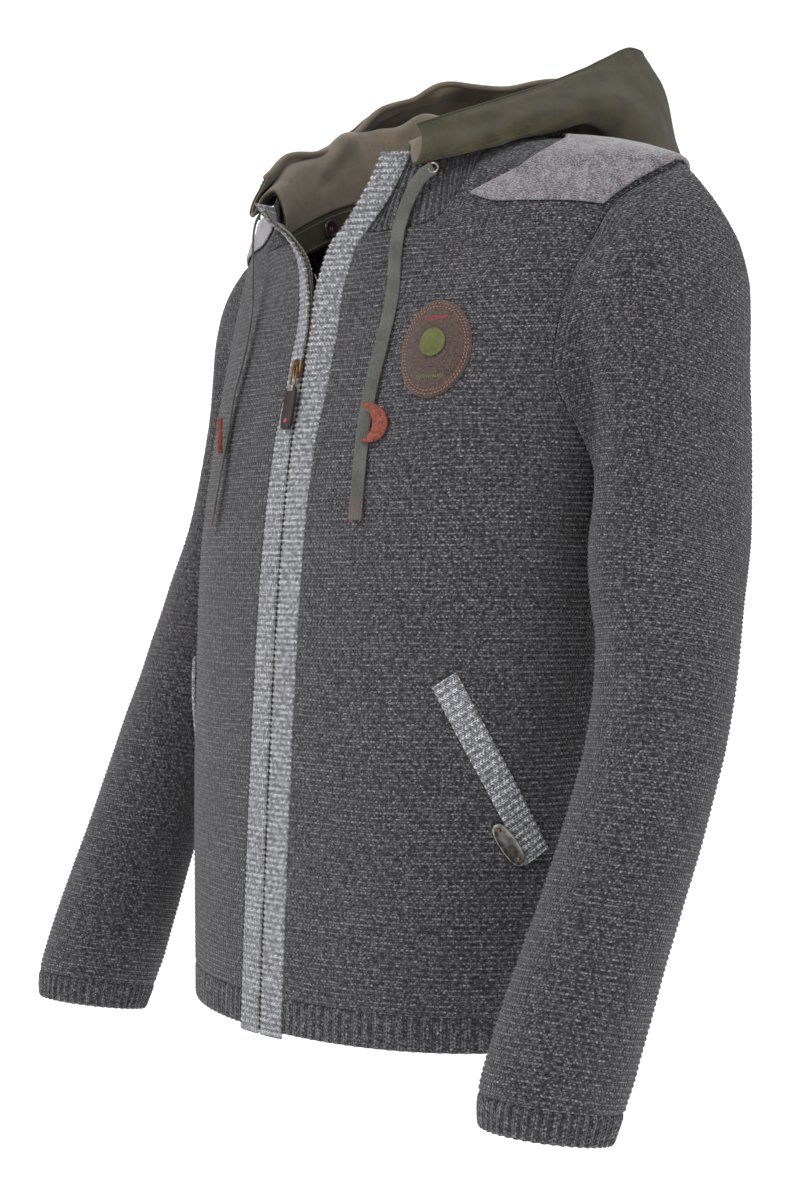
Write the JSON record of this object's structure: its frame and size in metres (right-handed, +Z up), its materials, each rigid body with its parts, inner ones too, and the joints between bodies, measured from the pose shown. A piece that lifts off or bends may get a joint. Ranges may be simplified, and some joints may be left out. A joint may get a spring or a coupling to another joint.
{
  "type": "hooded zip cardigan",
  "caption": "Heavy knit cardigan with a full zip, ribbed collar, felt shoulder patches and a cloth hood, in its worn form with nobody in it.",
  "frame": {"origin": "middle of the neck, level with the high points of the shoulders, where the wearer carries the garment", "axes": "+Z up, -Y towards the front, +X towards the wearer's left side"},
  "size_m": [0.6434, 0.4166, 0.7803],
  "materials": {
    "charcoal_knit": "coarse wool knit, dark charcoal melange",
    "pale_knit": "fine ribbed knit, pale blue-grey melange",
    "felt": "brushed lilac-grey felt",
    "olive_cloth": "matt olive cotton",
    "taupe_lining": "smooth taupe lining with a slight sheen",
    "grey_green_tape": "grey-green herringbone tape",
    "zip_metal": "old copper-brown brass",
    "steel": "dull brushed metal",
    "rubber": "dark brown moulded rubber",
    "leather": "terracotta leather with raw edges",
    "badge_cloth": "brown suede with copper stitching",
    "moss_cloth": "olive-green embroidery cloth",
    "button": "dark purple-brown horn button"
  },
  "bodies": {
    "garment": {"front_left": "charcoal_knit", "front_right": "charcoal_knit", "back": "charcoal_knit", "hem_rib": "charcoal_knit", "front_band_left": "pale_knit", "front_band_right": "pale_knit", "zip_tape_left": "grey_green_tape", "zip_tape_right": "grey_green_tape", "facing_left": "grey_green_tape", "facing_right": "grey_green_tape", "collar": "charcoal_knit", "sleeve_left": "charcoal_knit", "sleeve_right": "charcoal_knit", "cuff_left": "charcoal_knit", "cuff_right": "charcoal_knit", "yoke_left": "felt", "yoke_right": "felt", "hood_outer": "olive_cloth", "hood_lining": "taupe_lining", "hood_band": "olive_cloth", "hood_button_left": "button", "hood_button_right": "button", "welt_left": "pale_knit", "welt_right": "pale_knit", "badge": "badge_cloth", "badge_boss": "moss_cloth", "pocket_tag": "steel", "zip_slider": "zip_metal", "drawstring_left": "grey_green_tape", "drawstring_right": "grey_green_tape", "toggle_left": "leather", "toggle_right": "leather"},
    "pull": {"zip_pull_bail": "zip_metal", "zip_pull_tab": "rubber"}
  },
  "joints": [
    {"name": "pull_swing", "type": "hinge", "parent": "garment", "child": "pull", "pos_m": [-0.008, -0.13395, -0.17502], "axis": [-1, 0, 0], "range_deg": [0, 150]}
  ]
}
